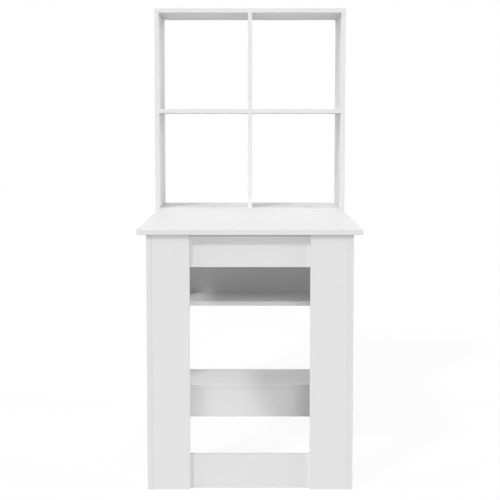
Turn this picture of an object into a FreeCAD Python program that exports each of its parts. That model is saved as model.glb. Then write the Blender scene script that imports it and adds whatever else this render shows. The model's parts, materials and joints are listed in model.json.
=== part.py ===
# Desk with a shelf tower at its back end: white faced boards held together by cam fittings and dowels.
# Millimetres. X runs across the desk, Y from the free end of the desktop to the back of the tower,
# and Z up. The origin is on the floor, under the middle of the whole.

import FreeCAD, Part
import os

Vector = FreeCAD.Vector

# Boards
board = 15.0                    # thickness of every board
arris_radius = 0.8              # rounding of the banded edges

desk_length = 1100.0            # free end of the desktop to the back of the tower
desk_width = 630.0              # the desktop, and the tower inside its two sides
desk_height = 740.0             # floor to the top of the desktop

tower_depth = 285.0
tower_height = 1430.0
shelf_setback = 30.0            # the two lower shelves stop this far short of the tower's back
under_shelf_height = 411.0      # floor to the top of the shelf under the desktop
plinth_height = 100.0
plinth_recess = 1.0             # plinth behind the front of the tower

overhang_side = 25.0            # desktop past the leg frame, at each side
overhang_front = 10.5           # desktop past the leg frame, at the free end
leg_face = 121.0                # width of a leg, seen from the free end
leg_depth = 120.0               # width of a leg, seen from the side
leg_reveal = 0.5                # front board of a leg behind the edge of its side board
upper_rail_height = 93.0
lower_rail_height = 97.0

# Fittings
fit_gap = 0.1                   # all round a fitting in its hole
end_gap = 0.5                   # past the end of a fitting in a blind hole
blind_floor = 4.0               # board left under a hole drilled into its face

cam_diameter = 15.0
cam_floor = 2.5                 # board left under the bore of a cam nut
cam_reach = 24.0                # joint to the axis of the cam nut
cam_sink = 0.3                  # cam nut below the face of its board
cam_slot_length = 9.0
cam_slot_width = 1.6
cam_slot_depth = 1.8

bolt_thread_diameter = 6.0
bolt_core_diameter = 4.6
bolt_thread_pitch = 2.0
bolt_shank_diameter = 7.0
bolt_neck_diameter = 4.5
bolt_neck_length = 3.0
bolt_head_length = 3.0

cap_diameter = 17.0
cap_thickness = 1.2
cap_chamfer = 0.5
cap_peg_diameter = 4.0
cap_peg_length = 1.6

dowel_diameter = 8.0
dowel_reach = 20.0              # dowel into the edge of a board
dowel_chamfer = 1.0

screw_diameter = 4.0
screw_head_diameter = 8.0
screw_bite = 10.0               # screw into the second board
screw_point = 4.0
screw_slot_width = 1.2
screw_slot_depth = 1.2

# Places of the fittings
shelf_inset = 50.0              # cam fittings from the front and back of a shelf
back_inset = 60.0               # cam fittings from the top and bottom of the back panel
leg_inset = 60.0                # cam fittings of a leg from its rails
leg_top_inset = 40.0            # cam fitting under the desktop from the back edge of a leg
dowel_pitch = 32.0              # dowel beside the nearest cam fitting
rail_cam_spacing = 200.0        # cam fittings between the upper rail and the desktop
rail_screw_inset = 25.0         # rail screws from the inner edge of a leg
rail_screw_spacing = 46.0       # one rail screw above the other
cross_spacing = 400.0           # dowels along the back panel and the plinth

# Planes that the boards share
tower_inside = desk_width / 2
tower_outside = tower_inside + board
desk_front = -desk_length / 2
tower_back = desk_length / 2
tower_front = tower_back - tower_depth
shelf_back = tower_back - shelf_setback
desk_under = desk_height - board
top_under = tower_height - board
cubby_level = (desk_height + top_under - board) / 2
cubby_top = cubby_level + board
frame_outside = tower_inside - overhang_side
frame_inside = frame_outside - leg_face
leg_corner = frame_outside - board
frame_front = desk_front + overhang_front
leg_front = frame_front + leg_reveal
leg_back = frame_front + leg_depth
rail_front = leg_front + board
rail_back = rail_front + board
upper_rail_under = desk_under - upper_rail_height

# Directions
RIGHT = Vector(1, 0, 0)
BACK = Vector(0, 1, 0)
UP = Vector(0, 0, 1)
SIDES = {"left": -1, "right": 1}

boards = {}
fittings = {}


class Board:
    """A rectangular board between two corners, and the holes drilled in it."""

    def __init__(self, name, low, high, arrises):
        self.low = Vector(*low)
        self.high = Vector(*high)
        self.middle = (self.low + self.high) * 0.5
        self.arrises = arrises
        self.holes = []
        boards[name] = self

    def solid(self):
        """The drilled board. Edges that run along the axes named in arrises are rounded."""
        size = self.high - self.low
        block = Part.makeBox(size.x, size.y, size.z, self.low)
        rounded = [edge for edge in block.Edges if run_of(edge) in self.arrises]
        if rounded:
            block = block.makeFillet(arris_radius, rounded)
        return block.cut(self.holes).Solids[0]


def run_of(edge):
    """The axis that a straight edge of a board runs along."""
    run = edge.Vertexes[1].Point - edge.Vertexes[0].Point
    lengths = {"X": abs(run.x), "Y": abs(run.y), "Z": abs(run.z)}
    return max(lengths, key=lengths.get)


def mirrored_board(name, low, high, arrises):
    """A board right of the middle, given by its corners, and its twin on the left."""
    Board(name + "_right", low, high, arrises)
    Board(name + "_left", (-high[0], low[1], low[2]), (-low[0], high[1], high[2]), arrises)


def placed(shape, point, along, face):
    """A copy of a fitting at a point, with its Z axis along the joint and its X axis at a face."""
    move = FreeCAD.Placement(point, FreeCAD.Rotation(face, along.cross(face), along, "ZXY"))
    copy = shape.copy()
    copy.Placement = move.multiply(shape.Placement)
    return copy


def turned(outline):
    """The solid that an outline of radii and heights sweeps about the Z axis."""
    corners = [Vector(radius, 0, height) for radius, height in outline]
    profile = Part.Face(Part.makePolygon(corners + corners[:1]))
    return profile.revolve(Vector(), UP, 360)


def rod(diameter, start, end, direction, origin=Vector()):
    """A cylinder along a direction, between two distances from an origin."""
    return Part.makeCylinder(diameter / 2, end - start, origin + direction * start, direction)


def cross_slot(length, width, depth, face):
    """A cross that is sunk into a fitting's face. The face looks along X at a given distance."""
    long_way = Part.makeBox(depth, length, width, Vector(face - depth, -length / 2, -width / 2))
    high_way = Part.makeBox(depth, width, length, Vector(face - depth, -width / 2, -length / 2))
    return long_way.fuse(high_way)


# Each fitting is made about its joint: Z runs from the board with the blind hole into the edge of the
# other board, and X towards the face where a cam nut is let in.
cam_face = board / 2
cam_axis = Vector(0, 0, cam_reach)
blind_depth = board - blind_floor


def cam_bolt():
    """The bolt of a cam fitting: threaded into a face, with its head in the cam nut."""
    thread = bolt_thread_diameter / 2
    core = bolt_core_diameter / 2
    shank = bolt_shank_diameter / 2
    neck = bolt_neck_diameter / 2
    head_end = cam_reach + bolt_head_length / 2
    neck_end = head_end - bolt_head_length
    neck_start = neck_end - bolt_neck_length
    thread_end = blind_depth - end_gap
    outline = [(0, -thread_end), (core, -thread_end)]
    for turn in range(int(thread_end / bolt_thread_pitch)):
        root = turn * bolt_thread_pitch - thread_end
        outline += [(core, root + bolt_thread_pitch / 4), (thread, root + bolt_thread_pitch / 2)]
        outline += [(core, root + bolt_thread_pitch)]
    outline += [(core, 0), (shank, 0), (shank, neck_start), (neck, neck_start)]
    outline += [(neck, neck_end), (shank, neck_end), (shank, head_end), (0, head_end)]
    return turned(outline)


def cam_nut():
    """The round cam nut, with the way in for the bolt's head and a cross for the screwdriver."""
    nut_face = cam_face - cam_sink
    nut_floor = cam_face - board + cam_floor + end_gap
    nut = rod(cam_diameter - 2 * fit_gap, nut_floor, nut_face, RIGHT, cam_axis)
    way_end = cam_reach + bolt_head_length / 2 + end_gap
    way_in = rod(bolt_shank_diameter + 2 * fit_gap, 0, way_end, UP)
    cross = cross_slot(cam_slot_length, cam_slot_width, cam_slot_depth, nut_face)
    cross.translate(cam_axis)
    peg_start = cam_face - cap_peg_length - end_gap
    peg_hole = rod(cap_peg_diameter + 2 * fit_gap, peg_start, cam_face, RIGHT, cam_axis)
    return nut.cut([way_in, cross, peg_hole]).Solids[0]


def cam_hole():
    """What is drilled for a cam fitting: the bolt's pilot hole, its way through, and the nut's bore."""
    pilot = rod(bolt_thread_diameter + 2 * fit_gap, -blind_depth, 0, UP)
    way = rod(bolt_shank_diameter + 2 * fit_gap, 0, cam_reach, UP)
    bore = rod(cam_diameter, cam_face - board + cam_floor, cam_face, RIGHT, cam_axis)
    return pilot.fuse([way, bore])


def cam_cap():
    """The press-in cover of a cam nut."""
    rim = cap_diameter / 2
    peg = cap_peg_diameter / 2
    outline = [(0, -cap_peg_length), (peg, -cap_peg_length), (peg, 0), (rim, 0)]
    outline += [(rim, cap_thickness - cap_chamfer), (rim - cap_chamfer, cap_thickness), (0, cap_thickness)]
    cap = turned(outline)
    return placed(cap, cam_axis + RIGHT * cam_face, RIGHT, UP)


def dowel(start, end):
    """A dowel with broken ends, between two distances from its joint."""
    full = dowel_diameter / 2
    tip = full - dowel_chamfer
    outline = [(0, start), (tip, start), (full, start + dowel_chamfer)]
    outline += [(full, end - dowel_chamfer), (tip, end), (0, end)]
    return turned(outline)


def dowel_hole(start, end):
    """What is drilled for a dowel between two distances from its joint."""
    return rod(dowel_diameter + 2 * fit_gap, start - end_gap, end + end_gap, UP)


def screw_outline(gap):
    """Outline of a countersunk screw that starts flush with the first board, or of its hole."""
    shank = screw_diameter / 2 + gap
    head = screw_head_diameter / 2 + gap
    point_end = screw_bite + gap
    point_start = point_end - screw_point
    head_end = screw_head_diameter / 2 - screw_diameter / 2 - board
    return [(0, -board), (head, -board), (shank, head_end), (shank, point_start), (0, point_end)]


def rail_screw():
    """A countersunk wood screw with a cross in its head."""
    screw = turned(screw_outline(0))
    cross = cross_slot(screw_diameter, screw_slot_width, screw_slot_depth, board)
    cross = placed(cross, Vector(), RIGHT, -UP)
    return screw.cut(cross).Solids[0]


def fasten(node, shape, hole, names, points, along, face):
    """Puts a fitting at each point, and drills its hole in the named boards."""
    for point in points:
        fittings.setdefault(node, []).append(placed(shape, point, along, face))
        for name in names:
            boards[name].holes.append(placed(hole, point, along, face))


def cam_joint(joint, names, points, along, face, capped):
    """Cam bolts in the first named board, drawn into the second by cam nuts."""
    fasten(joint + "_cam_bolts", BOLT, CAM_HOLE, names, points, along, face)
    fasten(joint + "_cam_nuts", NUT, CAM_HOLE, (), points, along, face)
    if capped:
        fasten(joint + "_cam_caps", CAP, CAM_HOLE, (), points, along, face)


def dowel_joint(joint, names, points, along, face):
    """Dowels from the face of the first named board into the edge of the second."""
    fasten(joint + "_dowels", DOWEL, DOWEL_HOLE, names, points, along, face)


BOLT = cam_bolt()
NUT = cam_nut()
CAP = cam_cap()
CAM_HOLE = cam_hole()
DOWEL = dowel(end_gap - blind_depth, dowel_reach)
DOWEL_HOLE = dowel_hole(end_gap - blind_depth, dowel_reach)
LONG_DOWEL = dowel(-dowel_reach, board + dowel_reach)
LONG_DOWEL_HOLE = dowel_hole(-dowel_reach, board + dowel_reach)
SCREW = rail_screw()
SCREW_HOLE = turned(screw_outline(fit_gap))

# Tower
mirrored_board("tower_side", (tower_inside, tower_front, 0), (tower_outside, tower_back, top_under), "Z")
Board(
    "tower_top",
    (-tower_outside, tower_front, top_under),
    (tower_outside, tower_back, tower_height),
    "XYZ",
)
Board("cubby_shelf", (-tower_inside, tower_front, cubby_level), (tower_inside, tower_back, cubby_top), "X")
Board("upper_divider", (-board / 2, tower_front, cubby_top), (board / 2, tower_back, top_under), "Z")
Board("lower_divider", (-board / 2, tower_front, desk_height), (board / 2, tower_back, cubby_level), "Z")
Board(
    "under_desk_shelf",
    (-tower_inside, tower_front, under_shelf_height - board),
    (tower_inside, shelf_back, under_shelf_height),
    "X",
)
Board(
    "back_panel",
    (-tower_inside, shelf_back - board, under_shelf_height),
    (tower_inside, shelf_back, desk_under),
    "",
)
Board(
    "bottom_shelf",
    (-tower_inside, tower_front, plinth_height),
    (tower_inside, shelf_back, plinth_height + board),
    "X",
)
plinth_front = tower_front + plinth_recess
Board("plinth", (-tower_inside, plinth_front, 0), (tower_inside, plinth_front + board, plinth_height), "")

# Desktop
Board("desktop", (-tower_inside, desk_front, desk_under), (tower_inside, tower_back, desk_height), "XYZ")

# Leg frame at the free end
mirrored_board("leg_side", (leg_corner, frame_front, 0), (frame_outside, leg_back, desk_under), "Z")
mirrored_board("leg_front", (frame_inside, leg_front, 0), (leg_corner, rail_front, desk_under), "Z")
Board("upper_rail", (-leg_corner, rail_front, upper_rail_under), (leg_corner, rail_back, desk_under), "X")
Board("lower_rail", (-leg_corner, rail_front, 0), (leg_corner, rail_back, lower_rail_height), "X")

# Fittings that are alike on the left and the right
for hand, sign in SIDES.items():
    inward = RIGHT * -sign
    tower_side = boards["tower_side_" + hand]
    leg_side = boards["leg_side_" + hand]
    leg_front_board = boards["leg_front_" + hand]

    # Top of the tower on its side
    front_row = tower_front + shelf_inset
    back_row = tower_back - shelf_inset
    seats = [Vector(tower_side.middle.x, y, top_under) for y in (front_row, back_row)]
    cam_joint("tower_top", ("tower_top", "tower_side_" + hand), seats, -UP, inward, True)
    rows = (front_row + dowel_pitch, back_row - dowel_pitch)
    seats = [Vector(tower_side.middle.x, y, top_under) for y in rows]
    dowel_joint("tower_top", ("tower_top", "tower_side_" + hand), seats, -UP, inward)

    # Shelves and desktop between the sides of the tower
    for name in ("cubby_shelf", "desktop", "under_desk_shelf", "bottom_shelf"):
        shelf = boards[name]
        shelf_row = (tower_back if name == "cubby_shelf" else shelf_back) - shelf_inset
        seats = [Vector(sign * tower_inside, y, shelf.middle.z) for y in (front_row, shelf_row)]
        cam_joint(name, ("tower_side_" + hand, name), seats, inward, -UP, False)
        rows = (front_row + dowel_pitch, shelf_row - dowel_pitch)
        seats = [Vector(sign * tower_inside, y, shelf.middle.z) for y in rows]
        dowel_joint(name, ("tower_side_" + hand, name), seats, inward, -UP)

    # Back panel and plinth between the sides of the tower
    panel = boards["back_panel"]
    levels = (panel.low.z + back_inset, panel.high.z - back_inset)
    seats = [Vector(sign * tower_inside, panel.middle.y, z) for z in levels]
    cam_joint("back_panel", ("tower_side_" + hand, "back_panel"), seats, inward, BACK, True)
    plinth = boards["plinth"]
    seats = [Vector(sign * tower_inside, plinth.middle.y, plinth.middle.z)]
    cam_joint("plinth", ("tower_side_" + hand, "plinth"), seats, inward, BACK, False)

    # Front board of a leg on its side board
    low_level = lower_rail_height + leg_inset
    high_level = upper_rail_under - leg_inset
    corner = sign * leg_corner
    pair = ("leg_side_" + hand, "leg_front_" + hand)
    levels = (low_level, (low_level + high_level) / 2, high_level)
    seats = [Vector(corner, leg_front_board.middle.y, z) for z in levels]
    cam_joint("leg_corner", pair, seats, inward, BACK, True)
    levels = (low_level + dowel_pitch, high_level - dowel_pitch)
    seats = [Vector(corner, leg_front_board.middle.y, z) for z in levels]
    dowel_joint("leg_corner", pair, seats, inward, BACK)

    # Leg under the desktop
    leg_row = leg_back - leg_top_inset
    seats = [Vector(leg_side.middle.x, leg_row, desk_under)]
    cam_joint("leg_top", ("desktop", "leg_side_" + hand), seats, -UP, inward, True)
    seats = [Vector(leg_side.middle.x, leg_row - dowel_pitch, desk_under)]
    dowel_joint("leg_top", ("desktop", "leg_side_" + hand), seats, -UP, inward)
    seats = [Vector(leg_front_board.middle.x, leg_front_board.middle.y, desk_under)]
    dowel_joint("leg_top", ("desktop", "leg_front_" + hand), seats, -UP, inward)

    # Rails between the legs
    for name in ("upper_rail", "lower_rail"):
        rail = boards[name]
        seats = [Vector(corner, rail.middle.y, rail.middle.z)]
        cam_joint("rail_end", ("leg_side_" + hand, name), seats, inward, BACK, True)
        heights = (rail.middle.z - rail_screw_spacing / 2, rail.middle.z + rail_screw_spacing / 2)
        seats = [Vector(sign * (frame_inside + rail_screw_inset), rail_front, z) for z in heights]
        fasten("rail_screws", SCREW, SCREW_HOLE, (name, "leg_front_" + hand), seats, -BACK, UP)

# Upper rail under the desktop
rail_line = boards["upper_rail"].middle.y
seats = [Vector(sign * rail_cam_spacing / 2, rail_line, desk_under) for sign in SIDES.values()]
cam_joint("rail_top", ("desktop", "upper_rail"), seats, -UP, BACK, True)

# Back panel between the desktop and the shelf under it, and plinth under the bottom shelf
columns = [sign * cross_spacing / 2 for sign in SIDES.values()]
panel_line = boards["back_panel"].middle.y
seats = [Vector(x, panel_line, under_shelf_height) for x in columns]
dowel_joint("back_panel", ("under_desk_shelf", "back_panel"), seats, UP, BACK)
seats = [Vector(x, panel_line, desk_under) for x in columns]
dowel_joint("back_panel", ("desktop", "back_panel"), seats, -UP, BACK)
seats = [Vector(x, boards["plinth"].middle.y, plinth_height) for x in columns]
dowel_joint("plinth", ("bottom_shelf", "plinth"), seats, -UP, BACK)

# Dividers: dowels into the desktop and the top, and long dowels through the shelf between them
rows = (tower_front + shelf_inset, tower_back - shelf_inset)
seats = [Vector(0, y, top_under) for y in rows]
dowel_joint("divider", ("tower_top", "upper_divider"), seats, -UP, BACK)
seats = [Vector(0, y, desk_height) for y in rows]
dowel_joint("divider", ("desktop", "lower_divider"), seats, UP, BACK)
crossing = ("lower_divider", "cubby_shelf", "upper_divider")
seats = [Vector(0, y, cubby_level) for y in rows]
fasten("divider_long_dowels", LONG_DOWEL, LONG_DOWEL_HOLE, crossing, seats, UP, BACK)

os.makedirs("parts", exist_ok=True)
for name, drilled in boards.items():
    drilled.solid().exportStep(f"parts/{name}.step")
for name, solids in fittings.items():
    Part.makeCompound(solids).exportStep(f"parts/{name}.step")
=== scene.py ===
import json
import math

import bpy
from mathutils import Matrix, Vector


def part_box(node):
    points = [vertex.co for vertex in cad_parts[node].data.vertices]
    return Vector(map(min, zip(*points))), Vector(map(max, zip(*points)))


# White desk with a shelf tower: the finish of its boards and fittings, a plain white studio and a camera.
# Metres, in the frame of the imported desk: X across it, Y from its free end to the tower's back, Z up.
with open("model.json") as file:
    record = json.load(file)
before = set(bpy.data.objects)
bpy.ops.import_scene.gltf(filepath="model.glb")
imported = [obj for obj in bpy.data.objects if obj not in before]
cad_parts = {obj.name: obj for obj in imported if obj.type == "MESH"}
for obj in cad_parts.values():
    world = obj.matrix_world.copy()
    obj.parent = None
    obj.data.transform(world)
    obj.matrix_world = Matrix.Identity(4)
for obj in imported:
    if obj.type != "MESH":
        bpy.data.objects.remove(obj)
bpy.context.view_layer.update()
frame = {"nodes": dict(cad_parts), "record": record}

# Boards
band_thickness = 0.0010          # edge band round the rim of a board
band_smoother = 0.08             # how much less rough the band is than the faces
seam_width = 0.00025             # glue line between the band and the faced board
seam_show = 0.7                  # how much of the glue line's grey comes through
pearl_size = 0.0011              # one dimple of the faced surface
pearl_depth = 0.00002
cloud_size = 0.18                # patches where the white is a little paler or duller
face_white = (0.805, 0.805, 0.805)
face_white_dull = (0.793, 0.793, 0.793)
face_roughness = 0.44
face_roughness_dull = 0.50
face_specular = 0.35
band_white = (0.785, 0.785, 0.785)
seam_grey = (0.52, 0.52, 0.52)
past_faces = 1.0                 # moves a board's two faces far off, so that only its edges count as rim

# Covers on the cam nuts
cap_white = (0.800, 0.800, 0.790)
cap_white_dull = (0.785, 0.785, 0.775)
cap_roughness = 0.32
cap_roughness_dull = 0.40
cap_dimple_size = 0.0005
cap_dimple_depth = 0.00001
cap_cloud_size = 0.012

# Dowels
beech_pale = (0.66, 0.47, 0.30)
beech_dark = (0.50, 0.32, 0.19)
beech_roughness = 0.62
beech_roughness_fleck = 0.74
beech_tone_size = 0.006
fleck_size = 0.0007
fleck_depth = 0.00005
fleck_show = 0.5                 # how much of the dark comes through in a fleck

# Metal fittings, brighter and duller in blotches, and rougher where they are dull
blotch_rougher = 0.14
fitting_metals = {
    "cam_nut_zinc": {
        "bright": (0.60, 0.60, 0.61), "dull": (0.42, 0.42, 0.43), "roughness": 0.38,
        "blotch_size": 0.004, "grain_size": 0.0006, "grain_depth": 0.00003},
    "cam_bolt_steel": {
        "bright": (0.66, 0.66, 0.67), "dull": (0.50, 0.50, 0.52), "roughness": 0.26,
        "blotch_size": 0.005, "grain_size": 0.0003, "grain_depth": 0.00001},
    "screw_steel": {
        "bright": (0.68, 0.60, 0.42), "dull": (0.52, 0.44, 0.29), "roughness": 0.28,
        "blotch_size": 0.004, "grain_size": 0.0003, "grain_depth": 0.00001},
}

# Noise: the values at which a patch begins and is complete, from soft patches to small flecks
soft_patch = (0.3, 0.7)
firm_patch = (0.35, 0.65)
small_fleck = (0.6, 0.75)
sheen_finer = 5.0                # the sheen changes in patches that many times smaller than the colour

# Camera, opposite the free end of the desk
camera_distance = 3.131          # from the edge of the desktop
camera_height = 1.03
camera_tilt = 4.55               # degrees below level
lens_mm = 81.63
lens_shift = -0.07               # the frame reaches a little lower than the lens looks
sensor_mm = 36.0

# Studio
plain_white = (1.0, 1.0, 1.0, 1.0)
white_glow = 1.0                 # the strength at which a plain ground shows as white
floor_side = 30.0
floor_drop = 0.0005              # just under the feet, so that no two faces lie in one plane
floor_bounce = (0.45, 0.45, 0.45)
floor_shade_seen = 0.12          # how much of the floor's shading the camera sees
fill_strength = 0.33             # light from all round

# Each lamp far off: the side that it shines from, in degrees (0 is the free end of the desk, minus is the
# left), its height above level and its width as seen from the desk, both in degrees, and its strength.
studio_lamps = {
    "key_lamp": {"side": -32.0, "height": 45.0, "width": 7.0, "strength": 1.10},
    "high_lamp": {"side": 0.0, "height": 78.0, "width": 30.0, "strength": 0.25},
    "front_lamp": {"side": 0.0, "height": 14.0, "width": 5.0, "strength": 0.64},
    "left_lamp": {"side": -84.0, "height": 10.0, "width": 44.0, "strength": 1.60},
    "right_lamp": {"side": 84.0, "height": 10.0, "width": 44.0, "strength": 1.95},
    "rear_left_lamp": {"side": -125.0, "height": 10.0, "width": 40.0, "strength": 0.52},
    "rear_right_lamp": {"side": 125.0, "height": 10.0, "width": 40.0, "strength": 0.56},
    "rear_lamp": {"side": 180.0, "height": 14.0, "width": 40.0, "strength": 0.13},
}

# Places of the colour sockets on a Mix node
mix_first = 6
mix_second = 7
mix_result = 2


def add_node(tree, kind, inputs=None, **settings):
    """A new node with its settings. An input takes a value, or a socket to link from."""
    node = tree.nodes.new(kind)
    for name, value in settings.items():
        setattr(node, name, value)
    for socket, value in (inputs or {}).items():
        if isinstance(value, bpy.types.NodeSocket):
            tree.links.new(value, node.inputs[socket])
        else:
            node.inputs[socket].default_value = value
    return node


def maths(tree, operation, first, second=0.0):
    """One sum on values."""
    return add_node(tree, "ShaderNodeMath", {0: first, 1: second}, operation=operation).outputs[0]


def vector_maths(tree, operation, first, second):
    """One sum on vectors."""
    return add_node(tree, "ShaderNodeVectorMath", {0: first, 1: second}, operation=operation).outputs[0]


def between(tree, mask, first, second):
    """A colour that goes from the first to the second as the mask goes from 0 to 1."""
    inputs = {"Factor": mask}
    for socket, colour in ((mix_first, first), (mix_second, second)):
        inputs[socket] = colour if isinstance(colour, bpy.types.NodeSocket) else (*colour, 1.0)
    return add_node(tree, "ShaderNodeMix", inputs, data_type="RGBA").outputs[mix_result]


def ramp(tree, value, start, end, low=0.0, high=1.0):
    """A value that goes smoothly from low to high while another goes from start to end."""
    inputs = {"Value": value, "From Min": start, "From Max": end, "To Min": low, "To Max": high}
    return add_node(tree, "ShaderNodeMapRange", inputs, interpolation_type="SMOOTHSTEP").outputs[0]


def place_on_object(tree):
    """Where a point is, in the frame of the desk."""
    return add_node(tree, "ShaderNodeTexCoord").outputs["Object"]


def noise(tree, place, scale, detail, roughness=0.5):
    """Soft noise from 0 to 1. The scale is one over the size of its patches."""
    inputs = {"Vector": place, "Scale": scale, "Detail": detail, "Roughness": roughness}
    return add_node(tree, "ShaderNodeTexNoise", inputs).outputs[0]


def new_group(name, inputs, outputs):
    """An empty node group with named inputs and outputs, and the sockets of its two end nodes."""
    group = bpy.data.node_groups.new(name, "ShaderNodeTree")
    for socket, kind in inputs.items():
        group.interface.new_socket(socket, in_out="INPUT", socket_type=kind)
    for socket, kind in outputs.items():
        group.interface.new_socket(socket, in_out="OUTPUT", socket_type=kind)
    start = add_node(group, "NodeGroupInput")
    end = add_node(group, "NodeGroupOutput")
    return group, start.outputs, end.inputs


def place_group(tree, group, values):
    """A node group in a material, with its own values."""
    return add_node(tree, "ShaderNodeGroup", values, node_tree=group).outputs


def edge_band_group():
    """Rim of a board: where the edge band is, and the fine glue line beside it."""
    inputs = {
        "Low Corner": "NodeSocketVector",
        "High Corner": "NodeSocketVector",
        "Band Thickness": "NodeSocketFloat",
        "Seam Width": "NodeSocketFloat",
    }
    outputs = {"Band": "NodeSocketFloat", "Seam": "NodeSocketFloat"}
    group, given, result = new_group("Edge Band", inputs, outputs)
    place = place_on_object(group)
    from_low = vector_maths(group, "SUBTRACT", place, given["Low Corner"])
    from_high = vector_maths(group, "SUBTRACT", given["High Corner"], place)
    nearer = vector_maths(group, "MINIMUM", from_low, from_high)
    apart = add_node(group, "ShaderNodeSeparateXYZ", {0: nearer}).outputs
    rim = maths(group, "MINIMUM", maths(group, "MINIMUM", apart["X"], apart["Y"]), apart["Z"])
    past_seam = maths(group, "SUBTRACT", rim, given["Band Thickness"])
    from_seam = maths(group, "ABSOLUTE", past_seam)
    half_seam = maths(group, "MULTIPLY", given["Seam Width"], 0.5)
    group.links.new(ramp(group, past_seam, 0.0, half_seam, low=1.0, high=0.0), result["Band"])
    group.links.new(ramp(group, from_seam, 0.0, half_seam, low=1.0, high=0.0), result["Seam"])
    return group


def pressed_face_group():
    """Fine dimples of a pressed or moulded surface, and broad soft patches over it."""
    inputs = {"Dimple Size": "NodeSocketFloat", "Patch Size": "NodeSocketFloat"}
    outputs = {"Dimples": "NodeSocketFloat", "Patches": "NodeSocketFloat", "Sheen Change": "NodeSocketFloat"}
    group, given, result = new_group("Pressed Face", inputs, outputs)
    place = place_on_object(group)
    dimple_scale = maths(group, "DIVIDE", 1.0, given["Dimple Size"])
    patch_scale = maths(group, "DIVIDE", 1.0, given["Patch Size"])
    sheen_scale = maths(group, "MULTIPLY", patch_scale, sheen_finer)
    dimples = noise(group, place, dimple_scale, detail=1.5, roughness=0.45)
    patches = noise(group, place, patch_scale, detail=4.0, roughness=0.55)
    sheen = noise(group, place, sheen_scale, detail=3.0)
    group.links.new(dimples, result["Dimples"])
    group.links.new(ramp(group, patches, *soft_patch), result["Patches"])
    group.links.new(ramp(group, sheen, *soft_patch), result["Sheen Change"])
    return group


def tarnish_group():
    """Plated or cast metal: dull blotches, and a fine grain."""
    inputs = {"Blotch Size": "NodeSocketFloat", "Grain Size": "NodeSocketFloat"}
    outputs = {"Blotches": "NodeSocketFloat", "Grain": "NodeSocketFloat"}
    group, given, result = new_group("Metal Tarnish", inputs, outputs)
    place = place_on_object(group)
    blotch_scale = maths(group, "DIVIDE", 1.0, given["Blotch Size"])
    grain_scale = maths(group, "DIVIDE", 1.0, given["Grain Size"])
    blotches = noise(group, place, blotch_scale, detail=5.0, roughness=0.6)
    grain = add_node(group, "ShaderNodeTexVoronoi", {"Vector": place, "Scale": grain_scale})
    group.links.new(ramp(group, blotches, *firm_patch), result["Blotches"])
    group.links.new(grain.outputs["Distance"], result["Grain"])
    return group


edge_band = edge_band_group()
pressed_face = pressed_face_group()
tarnish = tarnish_group()


def new_material(name):
    """A material with a bare node tree, and the surface socket of its output."""
    material = bpy.data.materials.new(name)
    material.use_nodes = True
    material.node_tree.nodes.clear()
    output = add_node(material.node_tree, "ShaderNodeOutputMaterial")
    return material, material.node_tree, output.inputs["Surface"]


def bumped(tree, height, depth):
    """A normal from a height that runs from 0 to 1 over the given depth."""
    return add_node(tree, "ShaderNodeBump", {"Strength": 1.0, "Distance": depth, "Height": height}).outputs[0]


def faced_board(node):
    """White faced chipboard, with a band on its rim. The rim follows from the board's own corners."""
    low, high = (Vector(corner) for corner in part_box(node))
    size = high - low
    thin = min(range(3), key=lambda axis: size[axis])
    low[thin] -= past_faces
    high[thin] += past_faces
    material, tree, surface = new_material("white_board_" + node)
    rim = place_group(tree, edge_band, {
        "Low Corner": low, "High Corner": high, "Band Thickness": band_thickness, "Seam Width": seam_width})
    face = place_group(tree, pressed_face, {"Dimple Size": pearl_size, "Patch Size": cloud_size})
    colour = between(tree, face["Patches"], face_white, face_white_dull)
    colour = between(tree, rim["Band"], colour, band_white)
    colour = between(tree, maths(tree, "MULTIPLY", rim["Seam"], seam_show), colour, seam_grey)
    roughness = ramp(tree, face["Sheen Change"], 0.0, 1.0, face_roughness, face_roughness_dull)
    roughness = maths(tree, "SUBTRACT", roughness, maths(tree, "MULTIPLY", rim["Band"], band_smoother))
    height = maths(tree, "SUBTRACT", face["Dimples"], rim["Seam"])
    shader = add_node(tree, "ShaderNodeBsdfPrincipled", {
        "Base Color": colour, "Roughness": roughness, "Normal": bumped(tree, height, pearl_depth),
        "Specular IOR Level": face_specular})
    tree.links.new(shader.outputs[0], surface)
    return material


def fitting_metal(name, bright, dull, roughness, blotch_size, grain_size, grain_depth):
    """Metal of a fitting, brighter and duller in blotches."""
    material, tree, surface = new_material(name)
    age = place_group(tree, tarnish, {"Blotch Size": blotch_size, "Grain Size": grain_size})
    colour = between(tree, age["Blotches"], bright, dull)
    spread = ramp(tree, age["Blotches"], 0.0, 1.0, roughness, roughness + blotch_rougher)
    shader = add_node(tree, "ShaderNodeBsdfPrincipled", {
        "Base Color": colour, "Metallic": 1.0, "Roughness": spread,
        "Normal": bumped(tree, age["Grain"], grain_depth)})
    tree.links.new(shader.outputs[0], surface)
    return material


def moulded_cap():
    """White moulded plastic of the covers on the cam nuts."""
    material, tree, surface = new_material("cap_plastic")
    face = place_group(tree, pressed_face, {"Dimple Size": cap_dimple_size, "Patch Size": cap_cloud_size})
    colour = between(tree, face["Patches"], cap_white, cap_white_dull)
    roughness = ramp(tree, face["Sheen Change"], 0.0, 1.0, cap_roughness, cap_roughness_dull)
    shader = add_node(tree, "ShaderNodeBsdfPrincipled", {
        "Base Color": colour, "Roughness": roughness,
        "Normal": bumped(tree, face["Dimples"], cap_dimple_depth)})
    tree.links.new(shader.outputs[0], surface)
    return material


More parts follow.
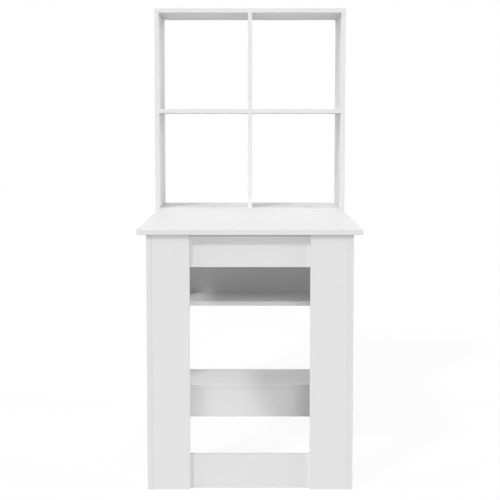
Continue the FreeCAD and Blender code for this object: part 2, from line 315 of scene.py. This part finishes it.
def raw_beech():
    """Bare beech of the dowels, with small dark flecks."""
    material, tree, surface = new_material("dowel_beech")
    place = place_on_object(tree)
    tone = noise(tree, place, 1.0 / beech_tone_size, detail=4.0)
    flecks = noise(tree, place, 1.0 / fleck_size, detail=2.0)
    colour = between(tree, ramp(tree, tone, *soft_patch), beech_pale, beech_dark)
    colour = between(tree, ramp(tree, flecks, *small_fleck, high=fleck_show), colour, beech_dark)
    roughness = ramp(tree, flecks, *soft_patch, beech_roughness, beech_roughness_fleck)
    shader = add_node(tree, "ShaderNodeBsdfPrincipled", {
        "Base Color": colour, "Roughness": roughness, "Normal": bumped(tree, flecks, fleck_depth)})
    tree.links.new(shader.outputs[0], surface)
    return material


fitting_finishes = {name: fitting_metal(name, **values) for name, values in fitting_metals.items()}
fitting_finishes["cap_plastic"] = moulded_cap()
fitting_finishes["dowel_beech"] = raw_beech()

for subpart in frame["record"]["subparts"]:
    node = subpart["node"]
    finish = fitting_finishes.get(subpart["material_slot"]) or faced_board(node)
    frame["nodes"][node].data.materials[0] = finish


def seen_directly(tree):
    """1 for what the camera, a reflection or a clear surface sees, and 0 for light on the desk."""
    path = add_node(tree, "ShaderNodeLightPath").outputs
    mirrored = maths(tree, "MAXIMUM", path["Is Glossy Ray"], path["Is Transmission Ray"])
    return maths(tree, "MAXIMUM", path["Is Camera Ray"], mirrored)


def studio_floor():
    """A wide white floor, on which the desk leaves a faint shadow."""
    half = floor_side / 2
    corners = [(x, y, -floor_drop) for x, y in ((-half, -half), (half, -half), (half, half), (-half, half))]
    mesh = bpy.data.meshes.new("studio_floor")
    mesh.from_pydata(corners, [], [(0, 1, 2, 3)])
    floor = bpy.data.objects.new("studio_floor", mesh)
    bpy.context.scene.collection.objects.link(floor)
    material, tree, surface = new_material("studio_floor_white")
    bounce = add_node(tree, "ShaderNodeBsdfDiffuse", {"Color": (*floor_bounce, 1.0)}).outputs[0]
    shade = add_node(tree, "ShaderNodeBsdfDiffuse", {"Color": plain_white}).outputs[0]
    glow = add_node(tree, "ShaderNodeEmission", {"Color": plain_white, "Strength": white_glow}).outputs[0]
    look = add_node(tree, "ShaderNodeMixShader", {0: floor_shade_seen, 1: glow, 2: shade}).outputs[0]
    mixed = add_node(tree, "ShaderNodeMixShader", {0: seen_directly(tree), 1: bounce, 2: look})
    tree.links.new(mixed.outputs[0], surface)
    mesh.materials.append(material)


def studio_air():
    """Soft light from all round, and plain white behind the desk."""
    world = bpy.data.worlds.new("studio_air")
    world.use_nodes = True
    tree = world.node_tree
    tree.nodes.clear()
    output = add_node(tree, "ShaderNodeOutputWorld")
    fill = add_node(tree, "ShaderNodeBackground", {"Color": plain_white, "Strength": fill_strength})
    backdrop = add_node(tree, "ShaderNodeBackground", {"Color": plain_white, "Strength": white_glow})
    mixed = add_node(
        tree, "ShaderNodeMixShader", {0: seen_directly(tree), 1: fill.outputs[0], 2: backdrop.outputs[0]})
    tree.links.new(mixed.outputs[0], output.inputs["Surface"])
    bpy.context.scene.world = world


def studio_lamp(name, side, height, width, strength):
    """A soft lamp far off, turned to the desk."""
    lamp = bpy.data.lights.new(name, "SUN")
    lamp.energy = strength
    lamp.angle = math.radians(width)
    holder = bpy.data.objects.new(name, lamp)
    holder.rotation_euler = (math.radians(90.0 - height), 0.0, math.radians(side))
    bpy.context.scene.collection.objects.link(holder)


def studio_camera():
    """A long lens opposite the free end, above the desktop, that looks a little down along the desk."""
    camera = bpy.data.cameras.new("studio_camera")
    camera.lens = lens_mm
    camera.sensor_width = sensor_mm
    camera.shift_y = lens_shift
    holder = bpy.data.objects.new("studio_camera", camera)
    desktop_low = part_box("desktop")[0]
    holder.location = (0.0, desktop_low.y - camera_distance, camera_height)
    holder.rotation_euler = (math.radians(90.0 - camera_tilt), 0.0, 0.0)
    bpy.context.scene.collection.objects.link(holder)
    bpy.context.scene.camera = holder


studio_floor()
studio_air()
for lamp_name, lamp_values in studio_lamps.items():
    studio_lamp(lamp_name, **lamp_values)
studio_camera()
bpy.context.scene.view_settings.view_transform = "Standard"
